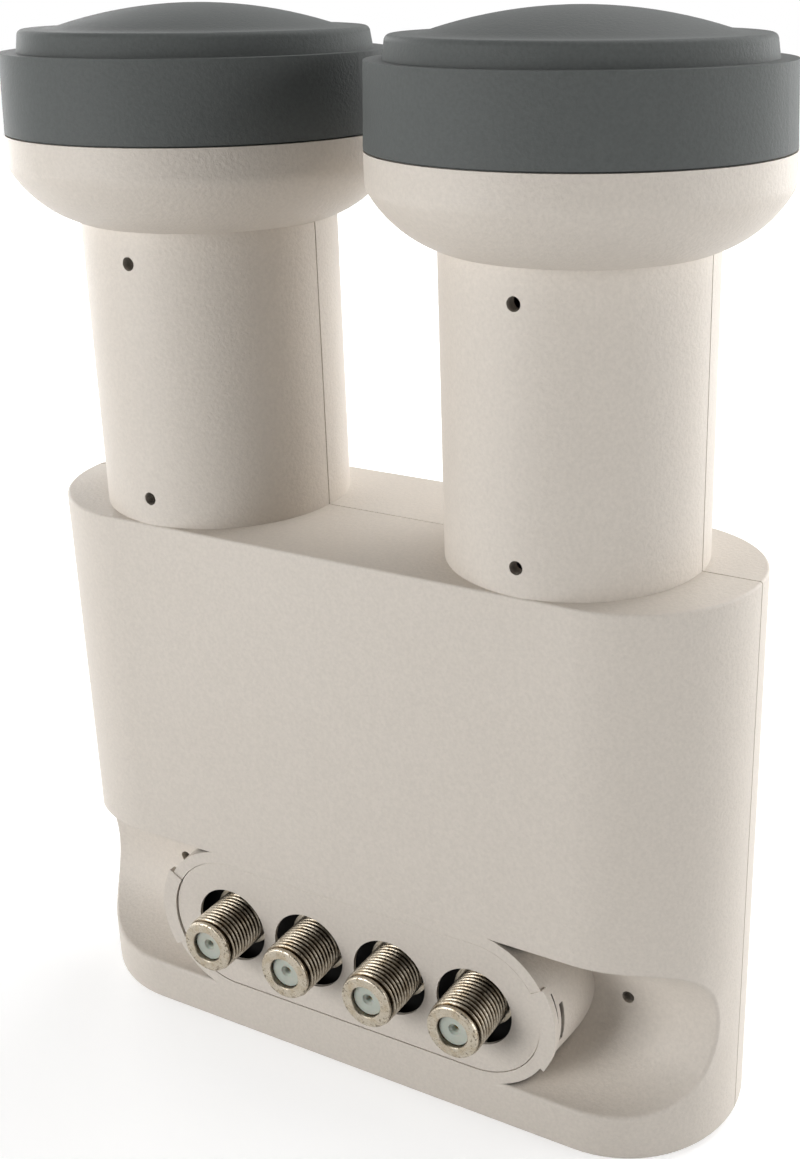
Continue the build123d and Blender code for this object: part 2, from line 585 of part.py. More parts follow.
def cap_body():
    """The cap's outside, filled in down to its rim."""
    step = COLLAR_RIM + CAP_JOINT_GAP
    outside = dome_line(0) + section_line(
        (CAP_RING_RADIUS - CAP_RING_FLAT, CAP_RING_TOP), (CAP_RING_RADIUS, CAP_RING_TOP),
        (CAP_RING_FOOT_RADIUS, CAP_BAND_TOP), (CAP_SHOULDER_RADIUS, CAP_BAND_TOP), (COLLAR_RADIUS, step),
        (COLLAR_RADIUS - CAP_JOINT_DEPTH, step), (COLLAR_RADIUS - CAP_JOINT_DEPTH, COLLAR_RIM),
        (0, COLLAR_RIM), (0, CAP_RING_TOP + CAP_DOME),
    )
    body = revolve(make_face(outside), Axis.Z)
    return fillet(rings_at(body, CAP_RING_RADIUS, CAP_RING_TOP), CAP_RING_EDGE)


def cap_hollow():
    """The space inside the cap, one wall in from its outside."""
    band, ring = CAP_SHOULDER_RADIUS - CAP_WALL, CAP_RING_RADIUS - CAP_WALL
    inside = dome_line(CAP_WALL) + section_line(
        (CAP_RING_RADIUS - CAP_RING_FLAT, CAP_RING_TOP - CAP_WALL), (ring, CAP_RING_TOP - CAP_WALL),
        (ring, CAP_BAND_TOP - CAP_WALL), (band, CAP_BAND_TOP - CAP_WALL), (band, COLLAR_RIM),
        (0, COLLAR_RIM), (0, CAP_RING_TOP + CAP_DOME - CAP_WALL),
    )
    return revolve(make_face(inside), Axis.Z)


def tube(outer, inner, bottom, top):
    return pillar(0, 0, bottom, top, outer) - pillar(0, 0, bottom, top, inner)


def feed_cap(x):
    """The domed cap, with a spigot inside the collar and the seal's groove round it."""
    body = cap_body() - cap_hollow()
    low = COLLAR_RIM - CAP_SPIGOT_LENGTH
    body += tube(CAP_SPIGOT_RADIUS, CAP_SPIGOT_RADIUS - CAP_SPIGOT_WALL, low, COLLAR_RIM + CAP_WALL)
    half = SEAL_RADIUS + FIT
    seal = COLLAR_RIM - SEAL_DROP
    body -= tube(CAP_SPIGOT_RADIUS + FIT, SEAL_SEAT_RADIUS, seal - half, seal + half)
    return Pos(x, 0, 0) * body


def cap_seal(x):
    middle = SEAL_SEAT_RADIUS + SEAL_RADIUS + THREAD_FIT / 2
    return Pos(x, 0, COLLAR_RIM - SEAL_DROP) * Torus(middle, SEAL_RADIUS)


def probe(x):
    path = FilletPolyline(
        (x, BOARD_FRONT - PROBE_TAIL, PROBE_HEIGHT), (x, PROBE_OFFSET, PROBE_HEIGHT),
        (x, PROBE_OFFSET, WAVEGUIDE_FOOT + PROBE_REACH), radius=PROBE_BEND_RADIUS,
    )
    start = Plane(origin=(x, BOARD_FRONT - PROBE_TAIL, PROBE_HEIGHT), z_dir=(0, 1, 0))
    return sweep(start * Circle(PROBE_RADIUS), path=path)


def probe_bush(x):
    """The insulating sleeve that holds the probe in the metal."""
    low, high = TRAY_TOP - TRAY_WALL, WAVEGUIDE_FOOT
    sleeve = pillar(x, PROBE_OFFSET, low, high, BUSH_RADIUS)
    return sleeve - pillar(x, PROBE_OFFSET, low, high, PROBE_RADIUS + THREAD_FIT)


def build():
    """All the pieces by name."""
    blank = shell_blank()
    groove = seam_groove()
    parts = {
        "front_shell": front_shell(blank, groove),
        "rear_shell": rear_shell(blank, groove),
        "connector_plate": connector_plate(),
        "sealing_pad": sealing_pad(),
        "chassis": chassis(),
        "circuit_board": circuit_board(),
        "shield_cover": shield_cover(),
        "cover_screws": cover_screws(),
        "horn_screws": horn_screws(),
    }
    for number, x in enumerate(connector_places(), start=1):
        parts[f"f_connector_{number}"] = f_connector(x)
        parts[f"connector_insulator_{number}"] = connector_insulator(x)
        parts[f"connector_contact_{number}"] = connector_contact(x)
    for side, x in FEEDS.items():
        parts[f"feed_horn_{side}"] = feed_horn(x)
        parts[f"feed_collar_{side}"] = feed_collar(x)
        parts[f"feed_cap_{side}"] = feed_cap(x)
        parts[f"cap_seal_{side}"] = cap_seal(x)
        parts[f"probe_{side}"] = probe(x)
        parts[f"probe_bush_{side}"] = probe_bush(x)
    return parts


os.makedirs("parts", exist_ok=True)
for name, shape in build().items():
    export_step(shape, f"parts/{name}.step")
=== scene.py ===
"""Dresses a two-feed satellite LNB: its plastics and metals, the threaded outputs and a stage."""

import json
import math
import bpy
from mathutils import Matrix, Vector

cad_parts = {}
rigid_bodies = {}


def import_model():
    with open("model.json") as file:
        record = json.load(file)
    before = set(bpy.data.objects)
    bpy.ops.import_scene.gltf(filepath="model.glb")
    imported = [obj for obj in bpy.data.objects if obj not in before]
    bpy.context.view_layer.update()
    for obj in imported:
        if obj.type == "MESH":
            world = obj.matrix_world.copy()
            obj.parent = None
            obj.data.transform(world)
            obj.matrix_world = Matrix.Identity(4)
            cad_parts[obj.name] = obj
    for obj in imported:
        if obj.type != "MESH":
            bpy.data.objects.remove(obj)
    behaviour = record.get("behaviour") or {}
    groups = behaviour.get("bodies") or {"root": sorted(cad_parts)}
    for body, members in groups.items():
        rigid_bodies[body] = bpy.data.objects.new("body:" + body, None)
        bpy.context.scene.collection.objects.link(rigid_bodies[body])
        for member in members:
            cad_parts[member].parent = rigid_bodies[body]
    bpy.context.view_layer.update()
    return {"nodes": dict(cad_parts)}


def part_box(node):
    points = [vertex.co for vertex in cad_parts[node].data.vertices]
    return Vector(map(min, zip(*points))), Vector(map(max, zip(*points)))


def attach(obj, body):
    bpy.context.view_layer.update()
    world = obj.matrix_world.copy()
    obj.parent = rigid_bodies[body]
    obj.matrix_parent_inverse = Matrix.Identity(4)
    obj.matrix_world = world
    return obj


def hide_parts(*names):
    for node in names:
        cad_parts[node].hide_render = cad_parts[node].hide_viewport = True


bl_info = {
    "name": "Satellite LNB Dressing",
    "version": (1, 0, 0),
    "blender": (4, 5, 0),
    "location": "3D View > Sidebar > LNB",
    "description": "Finishes, threaded outputs and a plain studio for a two-feed satellite LNB",
    "category": "Object",
}

import bpy
from bpy.props import FloatProperty, FloatVectorProperty, IntProperty, PointerProperty
from mathutils import Matrix, Vector

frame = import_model()

OUTPUTS = (1, 2, 3, 4)
FEEDS = ("left", "right")
MM = 0.001

# The sockets of a Mix node in its colour mode
MIX_A, MIX_B, MIX_RESULT = 6, 7, 2

# Points nearer than this are one point, and a cut plane catches points this near to it
SAME_POINT = 0.0005 * MM
ON_PLANE = 0.0001 * MM
# Edges flatter than this many degrees are shaded smooth
SMOOTH_UNDER = 40

# The middle of the object, which the lamps face, and their distance in metres
MIDDLE = Vector((0, 0, 90 * MM))
LAMP_DISTANCE = 0.9


# Colours and scales

def linear(hex_colour):
    """The linear colour of an sRGB hex value."""
    channels = [int(hex_colour[i:i + 2], 16) / 255 for i in (1, 3, 5)]
    return [c / 12.92 if c <= 0.04045 else ((c + 0.055) / 1.055) ** 2.4 for c in channels]


def opaque(colour):
    return (*colour, 1.0)


def toned(colour, factor):
    """A colour made lighter or darker all over."""
    return opaque([min(1.0, c * factor) for c in colour])


def per_size(size_mm):
    """The scale of a pattern on Object coordinates, from the width of its features."""
    return 1.0 / (size_mm * MM)


# Settings a user would change

def colour_setting(name, description, hex_colour):
    return FloatVectorProperty(
        name=name, description=description, subtype="COLOR", size=3, min=0, max=1,
        default=linear(hex_colour),
    )


def length_setting(name, description, millimetres):
    return FloatProperty(
        name=name, description=description, unit="LENGTH", min=0, default=millimetres * MM,
    )


def lamp_setting(name, brightness):
    return FloatProperty(
        name=name, description=f"Brightness of the {name.lower()}, where 1 is white", min=0,
        default=brightness,
    )


class FinishSettings(bpy.types.PropertyGroup):
    housing: colour_setting("Housing", "Colour of the housing, collars and plate", "#D6CEC4")
    cap: colour_setting("Caps", "Colour of the two caps", "#606362")
    nickel: colour_setting("Nickel", "Colour of the plated outputs", "#B7AE9E")
    insulator: colour_setting("Insulators", "Colour of the plastic in the outputs", "#B4B9AE")
    board: colour_setting("Board", "Colour of the circuit board's solder mask", "#1C5B36")
    grit: FloatProperty(
        name="Mould grit", description="Width of the grains of the moulded texture in millimetres",
        min=0.05, default=0.55,
    )


class OutputSettings(bpy.types.PropertyGroup):
    thread_radius: length_setting("Thread radius", "Outside radius of the thread", 4.7625)
    pitch: length_setting("Pitch", "Distance from crest to crest, 32 to the inch", 25.4 / 32)
    depth: length_setting("Thread depth", "From crest to root", 0.46)
    thread_length: length_setting("Thread length", "From the end face to the shoulder", 10.3)
    lead: length_setting("Lead", "Plain length between the end face and the relief groove", 0.62)
    relief: length_setting("Relief", "Width of the groove between the lead and the thread", 0.3)
    nose_radius: length_setting("Nose radius", "Radius of the lead", 4.55)
    edge: length_setting("End edge", "Radius of the rounded edge of the end face", 0.35)
    bore_radius: length_setting("Bore radius", "Radius of the bore that holds the insulator", 2.7)
    shoulder_radius: length_setting(
        "Shoulder radius", "Radius of the shoulder behind the thread", 5.4,
    )
    shoulder_length: length_setting("Shoulder length", "Length of the shoulder", 2.6)
    flange_radius: length_setting("Flange radius", "Radius of the flange on the chassis", 6.2)
    flange_length: length_setting("Flange length", "Length of the flange", 1.6)
    spigot_radius: length_setting("Spigot radius", "Radius of the spigot inside the chassis", 4.1)
    spigot_length: length_setting("Spigot length", "Length of the spigot", 4.0)
    set_back: length_setting("Set back", "From the end face to the insulator", 0.7)
    hole_radius: length_setting(
        "Contact hole radius", "Radius of the hole for the cable's core", 0.6,
    )
    funnel_radius: length_setting(
        "Funnel radius", "Radius of the mouth that guides the core in", 1.05,
    )
    funnel_depth: length_setting("Funnel depth", "Depth of that mouth", 0.45)
    segments: IntProperty(
        name="Segments", description="Steps round each output", min=16, default=72,
    )


class StageSettings(bpy.types.PropertyGroup):
    floor: colour_setting("Floor", "Colour of the floor", "#DCDCDC")
    fill: FloatProperty(
        name="Fill", description="Strength of the light from all round", min=0, default=0.03,
    )
    left: lamp_setting("Left panel", 7.8)
    right: lamp_setting("Right panel", 5.6)
    rear_left: lamp_setting("Rear left panel", 3.5)
    rear_right: lamp_setting("Rear right panel", 4.2)
    top: lamp_setting("Top panel", 3.9)
    lens: FloatProperty(
        name="Lens", description="Focal length in millimetres", min=1, default=46.53,
    )
    camera_place: FloatVectorProperty(
        name="Camera", description="Where the camera stands", subtype="TRANSLATION", unit="LENGTH",
        default=(0.12259, -0.19000, 0.17617),
    )
    camera_turn: FloatVectorProperty(
        name="Camera turn", description="How the camera is turned", subtype="EULER",
        unit="ROTATION", default=[math.radians(a) for a in (70.6412, 0.3119, 27.2493)],
    )
    shift: FloatVectorProperty(
        name="Shift", description="Shift of the frame, as in the photograph", size=2,
        default=(-0.1113, -0.0725),
    )


# Materials

def add_node(owner, kind, settings=None, sockets=None):
    """Adds a node to a material or a world.

    A socket that is given another node's output is linked to it, and any other is set.
    """
    tree = owner.node_tree
    made = tree.nodes.new(kind)
    for key, value in (settings or {}).items():
        setattr(made, key, value)
    for key, value in (sockets or {}).items():
        if isinstance(value, bpy.types.NodeSocket):
            tree.links.new(value, made.inputs[key])
        else:
            made.inputs[key].default_value = value
    return made


def new_material(name):
    material = bpy.data.materials.new(name)
    material.use_nodes = True
    material.node_tree.nodes.clear()
    return material


def finish_material(material, sockets):
    """Puts the surface shader and the output on a material."""
    shader = add_node(material, "ShaderNodeBsdfPrincipled", None, sockets)
    add_node(material, "ShaderNodeOutputMaterial", None, {"Surface": shader.outputs["BSDF"]})
    return material


def textured_plastic(name, colour, grit_mm, roughness, contrast, grain_height, gloss):
    """Plastic moulded in a spark-eroded tool: an even grain, a soft sheen, painted shade in deep
    holes.
    """
    material = new_material(name)
    place = add_node(material, "ShaderNodeTexCoord").outputs["Object"]
    # The real grain is finer than the setting's default, which is drawn coarse so that it shows.
    grit = add_node(material, "ShaderNodeTexNoise", None, {
        "Vector": place, "Scale": per_size(grit_mm), "Detail": 3.0, "Roughness": 0.62,
    }).outputs["Fac"]
    grain = add_node(material, "ShaderNodeMapRange", None, {
        "Value": grit, "From Min": 0.32, "From Max": 0.68,
    }).outputs["Result"]
    tone = add_node(material, "ShaderNodeMix", {"data_type": "RGBA"}, {
        "Factor": grain, MIX_A: toned(colour, 1 - contrast), MIX_B: toned(colour, 1 + contrast),
    }).outputs[MIX_RESULT]
    # The colour drifts a little over some 30 mm, as where the plastic flowed into the tool.
    flow = add_node(material, "ShaderNodeTexNoise", None, {
        "Vector": place, "Scale": per_size(30), "Detail": 2.0, "Roughness": 0.5,
    }).outputs["Fac"]
    drift = add_node(material, "ShaderNodeMix", {"data_type": "RGBA", "blend_type": "MULTIPLY"}, {
        "Factor": flow, MIX_A: tone, MIX_B: opaque([0.965, 0.96, 0.955]),
    }).outputs[MIX_RESULT]
    # Painted shade, near black, darkens where the piece's own walls shut out most of what is within
    # 3 mm.
    hollow = add_node(material, "ShaderNodeAmbientOcclusion", {"samples": 8, "only_local": True}, {
        "Distance": 3 * MM,
    }).outputs["AO"]
    unshaded_share = add_node(material, "ShaderNodeMapRange", None, {
        "Value": hollow, "From Min": 0.2, "From Max": 0.42,
    }).outputs["Result"]
    # The near-black colour is painted shade in holes and gaps, not dirt.
    grime_and_shade = add_node(material, "ShaderNodeMix", {"data_type": "RGBA"}, {
        "Factor": unshaded_share, MIX_A: toned(colour, 0.02), MIX_B: drift,
    }).outputs[MIX_RESULT]
    sheen = add_node(material, "ShaderNodeMapRange", None, {
        "Value": grit, "From Min": 0.3, "From Max": 0.7,
        "To Min": roughness - 0.06, "To Max": roughness + 0.07,
    }).outputs["Result"]
    bump = add_node(material, "ShaderNodeBump", None, {
        "Height": grit, "Strength": 0.8, "Distance": grain_height * MM,
    }).outputs["Normal"]
    return finish_material(material, {
        "Base Color": grime_and_shade, "Roughness": sheen, "Normal": bump, "IOR": 1.5,
        "Specular IOR Level": gloss,
    })


def nickel_plate(colour):
    """Nickel plate on a turned body: warm, bright and pitted, with brown grime and painted shade in
    its thread and bore.
    """
    material = new_material("satin_nickel_plate")
    place = add_node(material, "ShaderNodeTexCoord").outputs["Object"]
    groove = add_node(material, "ShaderNodeAttribute", {"attribute_name": "groove"}).outputs["Fac"]
    rim = add_node(material, "ShaderNodeAttribute", {"attribute_name": "rim"}).outputs["Fac"]
    # Real pits are finer than 0.45 mm, and are drawn coarse so that they show.
    pits = add_node(material, "ShaderNodeTexNoise", None, {
        "Vector": place, "Scale": per_size(0.45), "Detail": 4.0, "Roughness": 0.7,
    }).outputs["Fac"]
    stain = add_node(material, "ShaderNodeTexNoise", None, {
        "Vector": place, "Scale": per_size(1.6), "Detail": 3.0, "Roughness": 0.6,
    }).outputs["Fac"]
    patches = add_node(material, "ShaderNodeMapRange", None, {
        "Value": stain, "From Min": 0.45, "From Max": 0.7,
    }).outputs["Result"]
    tarnish = opaque([colour[0] * 0.84, colour[1] * 0.79, colour[2] * 0.71])
    tone = add_node(material, "ShaderNodeMix", {"data_type": "RGBA"}, {
        "Factor": patches, MIX_A: opaque(colour), MIX_B: tarnish,
    }).outputs[MIX_RESULT]
    # The rim of the end face has more chips than the rest.
    flawed = add_node(material, "ShaderNodeMath", {"operation": "MULTIPLY_ADD"}, {
        0: rim, 1: 0.09, 2: pits,
    }).outputs[0]
    specks = add_node(material, "ShaderNodeMapRange", None, {
        "Value": flawed, "From Min": 0.62, "From Max": 0.7,
    }).outputs["Result"]
    chipped = add_node(material, "ShaderNodeMath", {"operation": "SUBTRACT"}, {
        0: pits, 1: specks,
    }).outputs[0]
    pitted = add_node(material, "ShaderNodeMix", {"data_type": "RGBA"}, {
        "Factor": specks, MIX_A: tone, MIX_B: opaque(linear("#6E6455")),
    }).outputs[MIX_RESULT]
    # Grime and painted shade follow the grooves and darken the bore, thicker where the plate is
    # stained.
    uneven = add_node(material, "ShaderNodeMath", {"operation": "MULTIPLY_ADD"}, {
        0: stain, 1: 0.5, 2: -0.25,
    }).outputs[0]
    grime_and_shade = add_node(material, "ShaderNodeMath", {"operation": "ADD"}, {
        0: groove, 1: uneven,
    }).outputs[0]
    grime_and_shade_share = add_node(material, "ShaderNodeMapRange", None, {
        "Value": grime_and_shade, "From Min": 0.15, "From Max": 0.8,
    }).outputs["Result"]
    grime_and_shade_tone = add_node(material, "ShaderNodeMix", {"data_type": "RGBA"}, {
        "Factor": grime_and_shade_share, MIX_A: pitted, MIX_B: opaque(linear("#382914")),
    }).outputs[MIX_RESULT]
    gloss = add_node(material, "ShaderNodeMapRange", None, {
        "Value": pits, "From Min": 0.3, "From Max": 0.7, "To Min": 0.2, "To Max": 0.42,
    }).outputs["Result"]
    bump = add_node(material, "ShaderNodeBump", None, {
        "Height": chipped, "Strength": 0.5, "Distance": 0.04 * MM,
    }).outputs["Normal"]
    return finish_material(material, {
        "Base Color": grime_and_shade_tone, "Metallic": 1.0, "Roughness": gloss, "Normal": bump,
    })


def natural_polyethylene(colour):
    """Milky insulator plastic, moulded smooth, that lets some light into itself."""
    material = new_material("natural_polyethylene")
    place = add_node(material, "ShaderNodeTexCoord").outputs["Object"]
    cloud = add_node(material, "ShaderNodeTexNoise", None, {
        "Vector": place, "Scale": per_size(1.2), "Detail": 2.0, "Roughness": 0.5,
    }).outputs["Fac"]
    tone = add_node(material, "ShaderNodeMix", {"data_type": "RGBA"}, {
        "Factor": cloud, MIX_A: toned(colour, 0.9), MIX_B: toned(colour, 1.04),
    }).outputs[MIX_RESULT]
    bump = add_node(material, "ShaderNodeBump", None, {
        "Height": cloud, "Strength": 0.2, "Distance": 0.03 * MM,
    }).outputs["Normal"]
    return finish_material(material, {
        "Base Color": tone, "Roughness": 0.38, "Normal": bump, "IOR": 1.51,
        "Subsurface Weight": 0.12, "Subsurface Scale": 0.4 * MM,
    })


def cast_aluminium():
    """Die-cast aluminium, left as it is cast: dull, pale grey, with faint flow marks."""
    material = new_material("die_cast_aluminium")
    place = add_node(material, "ShaderNodeTexCoord").outputs["Object"]
    grain = add_node(material, "ShaderNodeTexNoise", None, {
        "Vector": place, "Scale": per_size(0.8), "Detail": 5.0, "Roughness": 0.65,
    }).outputs["Fac"]
    flow = add_node(material, "ShaderNodeTexNoise", None, {
        "Vector": place, "Scale": per_size(9), "Detail": 3.0, "Distortion": 1.2,
    }).outputs["Fac"]
    tone = add_node(material, "ShaderNodeMix", {"data_type": "RGBA"}, {
        "Factor": flow, MIX_A: opaque(linear("#A9A9A6")), MIX_B: opaque(linear("#C6C6C3")),
    }).outputs[MIX_RESULT]
    gloss = add_node(material, "ShaderNodeMapRange", None, {
        "Value": grain, "To Min": 0.42, "To Max": 0.66,
    }).outputs["Result"]
    bump = add_node(material, "ShaderNodeBump", None, {
        "Height": grain, "Strength": 0.5, "Distance": 0.04 * MM,
    }).outputs["Normal"]
    return finish_material(material, {
        "Base Color": tone, "Metallic": 1.0, "Roughness": gloss, "Normal": bump,
    })


def zinc_screw():
    """Zinc-plated steel screws, bluish and lightly brushed by the driver."""
    material = new_material("zinc_plated_steel")
    place = add_node(material, "ShaderNodeTexCoord").outputs["Object"]
    rub = add_node(material, "ShaderNodeTexNoise", None, {
        "Vector": place, "Scale": per_size(0.5), "Detail": 4.0,
    }).outputs["Fac"]
    tone = add_node(material, "ShaderNodeMix", {"data_type": "RGBA"}, {
        "Factor": rub, MIX_A: opaque(linear("#A7ABAF")), MIX_B: opaque(linear("#C9CCCE")),
    }).outputs[MIX_RESULT]
    gloss = add_node(material, "ShaderNodeMapRange", None, {
        "Value": rub, "To Min": 0.24, "To Max": 0.45,
    }).outputs["Result"]
    return finish_material(material, {"Base Color": tone, "Metallic": 1.0, "Roughness": gloss})


def gold_contact():
    """Thin gold over a brass contact: bright yellow, a little paler where it is worn."""
    material = new_material("gold_flash")
    place = add_node(material, "ShaderNodeTexCoord").outputs["Object"]
    wear = add_node(material, "ShaderNodeTexNoise", None, {
        "Vector": place, "Scale": per_size(0.7), "Detail": 3.0,
    }).outputs["Fac"]
    tone = add_node(material, "ShaderNodeMix", {"data_type": "RGBA"}, {
        "Factor": wear, MIX_A: opaque(linear("#C9A24E")), MIX_B: opaque(linear("#E3C37A")),
    }).outputs[MIX_RESULT]
    gloss = add_node(material, "ShaderNodeMapRange", None, {
        "Value": wear, "To Min": 0.2, "To Max": 0.36,
    }).outputs["Result"]
    return finish_material(material, {"Base Color": tone, "Metallic": 1.0, "Roughness": gloss})


def board_laminate(colour):
    """Solder mask on glass-fibre laminate: glossy green with the weave just showing."""
    material = new_material("solder_mask_on_laminate")
    place = add_node(material, "ShaderNodeTexCoord").outputs["Object"]
    weave = add_node(material, "ShaderNodeTexChecker", None, {
        "Vector": place, "Scale": per_size(0.5),
        "Color1": toned(colour, 0.92), "Color2": toned(colour, 1.08),
    }).outputs["Color"]
    cloud = add_node(material, "ShaderNodeTexNoise", None, {
        "Vector": place, "Scale": per_size(6), "Detail": 2.0,
    }).outputs["Fac"]
    gloss = add_node(material, "ShaderNodeMapRange", None, {
        "Value": cloud, "To Min": 0.22, "To Max": 0.34,
    }).outputs["Result"]
    return finish_material(material, {"Base Color": weave, "Roughness": gloss, "IOR": 1.52})


def seal_rubber():
    """Black moulded rubber, dull, with a dusting of talc."""
    material = new_material("nitrile_rubber")
    place = add_node(material, "ShaderNodeTexCoord").outputs["Object"]
    talc = add_node(material, "ShaderNodeTexNoise", None, {
        "Vector": place, "Scale": per_size(0.9), "Detail": 4.0,
    }).outputs["Fac"]
    tone = add_node(material, "ShaderNodeMix", {"data_type": "RGBA"}, {
        "Factor": talc, MIX_A: opaque(linear("#060504")), MIX_B: opaque(linear("#110F0D")),
    }).outputs[MIX_RESULT]
    gloss = add_node(material, "ShaderNodeMapRange", None, {
        "Value": talc, "To Min": 0.5, "To Max": 0.75,
    }).outputs["Result"]
    return finish_material(material, {
        "Base Color": tone, "Roughness": gloss, "IOR": 1.52, "Specular IOR Level": 0.2,
    })


def coat(nodes, material):
    """Gives CAD nodes a material."""
    for name in nodes:
        slots = frame["nodes"][name].data.materials
        slots.clear()
        slots.append(material)


# Modelling by hand, in code

def select_only(piece=None):
    """Selects one object, or none."""
    for other in bpy.data.objects:
        other.select_set(False)
    if piece:
        piece.select_set(True)
        bpy.context.view_layer.objects.active = piece


def start_profile(name, first):
    """A new mesh that is a single selected vertex, left in edit mode."""
    select_only()
    bpy.ops.mesh.primitive_plane_add(size=MM, location=(0, 0, 0))
    piece = bpy.context.active_object
    piece.name = name
    bpy.ops.object.mode_set(mode="EDIT")
    bpy.ops.mesh.select_all(action="SELECT")
    bpy.ops.mesh.merge(type="CENTER")
    bpy.ops.transform.translate(value=first)
    return piece


def draw_profile(name, points):
    """A line drawn by extruding a vertex from point to point. Points are radius and depth."""
    places = [Vector((radius, depth, 0)) for radius, depth in points]
    piece = start_profile(name, places[0])
    for before, after in zip(places, places[1:]):
        bpy.ops.mesh.extrude_region_move(TRANSFORM_OT_translate={"value": after - before})
    return piece


def close_up():
    """Merges a shell's doubles and turns its faces outwards."""
    bpy.ops.mesh.select_all(action="SELECT")
    bpy.ops.mesh.remove_doubles(threshold=SAME_POINT)
    bpy.ops.mesh.normals_make_consistent(inside=False)


def turned(name, points, segments):
    """A piece turned about the Y axis, from a line that closes on itself or on the axis."""
    piece = draw_profile(name, points)
    bpy.ops.mesh.select_all(action="SELECT")
    bpy.ops.mesh.spin(steps=segments, angle=math.tau, center=(0, 0, 0), axis=(0, 1, 0))
    close_up()
    bpy.ops.object.mode_set(mode="OBJECT")
    return piece


def rounded(radius_from, depth_from, radius_to, depth_to, steps=5):
    """Points round a quarter ellipse, which starts across the axis and ends along it."""
    turns = [i * math.pi / 2 / steps for i in range(steps + 1)]
    return [
        (
            radius_from + (radius_to - radius_from) * math.sin(a),
            depth_from + (depth_to - depth_from) * (1 - math.cos(a)),
        )
        for a in turns
    ]


def threaded_rod(name, sizes):
    """A rod with a real helical thread, cut square at both ends."""
    crest, root, pitch = sizes.thread_radius, sizes.thread_radius - sizes.depth, sizes.pitch
    # One thread from root to root: how far along the pitch, and how far up from root to crest
    flank = (
        (0, 0), (0.08, 0), (0.2, 0.4), (0.33, 0.82), (0.42, 0.97), (0.5, 1),
        (0.58, 0.97), (0.67, 0.82), (0.8, 0.4), (0.92, 0), (1, 0),
    )
    profile = [(root + rise * (crest - root), share * pitch) for share, rise in flank]
    piece = draw_profile(name, profile)
    bpy.ops.object.mode_set(mode="OBJECT")
    select_only(piece)
    # The winding runs past the thread at both ends, and the two cuts take that off.
    winding = piece.modifiers.new("winding", "SCREW")
    winding.axis = "Y"
    winding.screw_offset = pitch
    winding.iterations = math.ceil(sizes.thread_length / pitch) + 2
    winding.steps = winding.render_steps = sizes.segments
    winding.use_merge_vertices = True
    winding.merge_threshold = SAME_POINT
    bpy.ops.object.modifier_apply(modifier=winding.name)
    bpy.ops.object.mode_set(mode="EDIT")
    close_up()
    start = 1.5 * pitch
    first_cut = start + sizes.lead + sizes.relief
    last_cut = start + sizes.thread_length - 0.3 * MM
    for depth, far in ((first_cut, False), (last_cut, True)):
        bpy.ops.mesh.select_all(action="SELECT")
        bpy.ops.mesh.bisect(
            plane_co=(0, depth, 0), plane_no=(0, 1, 0), use_fill=True,
            clear_inner=not far, clear_outer=far, threshold=ON_PLANE,
        )
    bpy.ops.mesh.select_all(action="SELECT")
    bpy.ops.transform.translate(value=(0, -start, 0))
    bpy.ops.mesh.normals_make_consistent(inside=False)
    bpy.ops.object.mode_set(mode="OBJECT")
    return piece


def combine(piece, other, operation):
    """Joins or cuts with another solid, which is used up."""
    select_only(piece)
    cut = piece.modifiers.new(operation.lower(), "BOOLEAN")
    cut.operation = operation
    cut.solver = "EXACT"
    cut.object = other
    bpy.ops.object.modifier_apply(modifier=cut.name)
    bpy.data.objects.remove(other)


def smooth(piece):
    select_only(piece)
    bpy.ops.object.shade_smooth_by_angle(angle=math.radians(SMOOTH_UNDER))


def output_place(number):
    """The centre of an output's end face."""
    low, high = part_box(f"f_connector_{number}")
    return Vector(((low.x + high.x) / 2, low.y, (low.z + high.z) / 2))


def copies_at_outputs(piece, name, node, material):
    """One copy of a piece for each output, each with its own mesh."""
    for number in OUTPUTS:
        copy = bpy.data.objects.new(f"{name}_{number}", piece.data.copy())
        bpy.context.scene.collection.objects.link(copy)
        copy.data.transform(Matrix.Translation(output_place(number)))
        copy.data.materials.clear()
        copy.data.materials.append(material)
        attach(copy, "root")
        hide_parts(f"{node}_{number}")
    bpy.data.objects.remove(piece)


def mark_wear_and_shade(piece, sizes):
    """Marks the thread, its roots most, for grime and painted shade, the bore for painted shade,
    and the rim for chips.
    """
    # The thread's share is grime and painted shade in its roots; the bore's share is painted shade
    # only.
    crest_grime_and_shade, bore_shade = 0.25, 0.5
    bore_reach = 1.02 * sizes.bore_radius
    rim_start = sizes.nose_radius - 1.5 * sizes.edge
    grooves = piece.data.attributes.new("groove", "FLOAT", "POINT")
    rims = piece.data.attributes.new("rim", "FLOAT", "POINT")
    for groove, rim, point in zip(grooves.data, rims.data, piece.data.vertices):
        radius = math.hypot(point.co.x, point.co.z)
        if sizes.lead < point.co.y < sizes.thread_length:
            sunk = min(1, max(0, (sizes.thread_radius - radius) / sizes.depth))
            groove.value = crest_grime_and_shade + (1 - crest_grime_and_shade) * sunk
        elif radius < bore_reach:
            groove.value = bore_shade
        rim.value = 1 if point.co.y < sizes.edge and radius > rim_start else 0


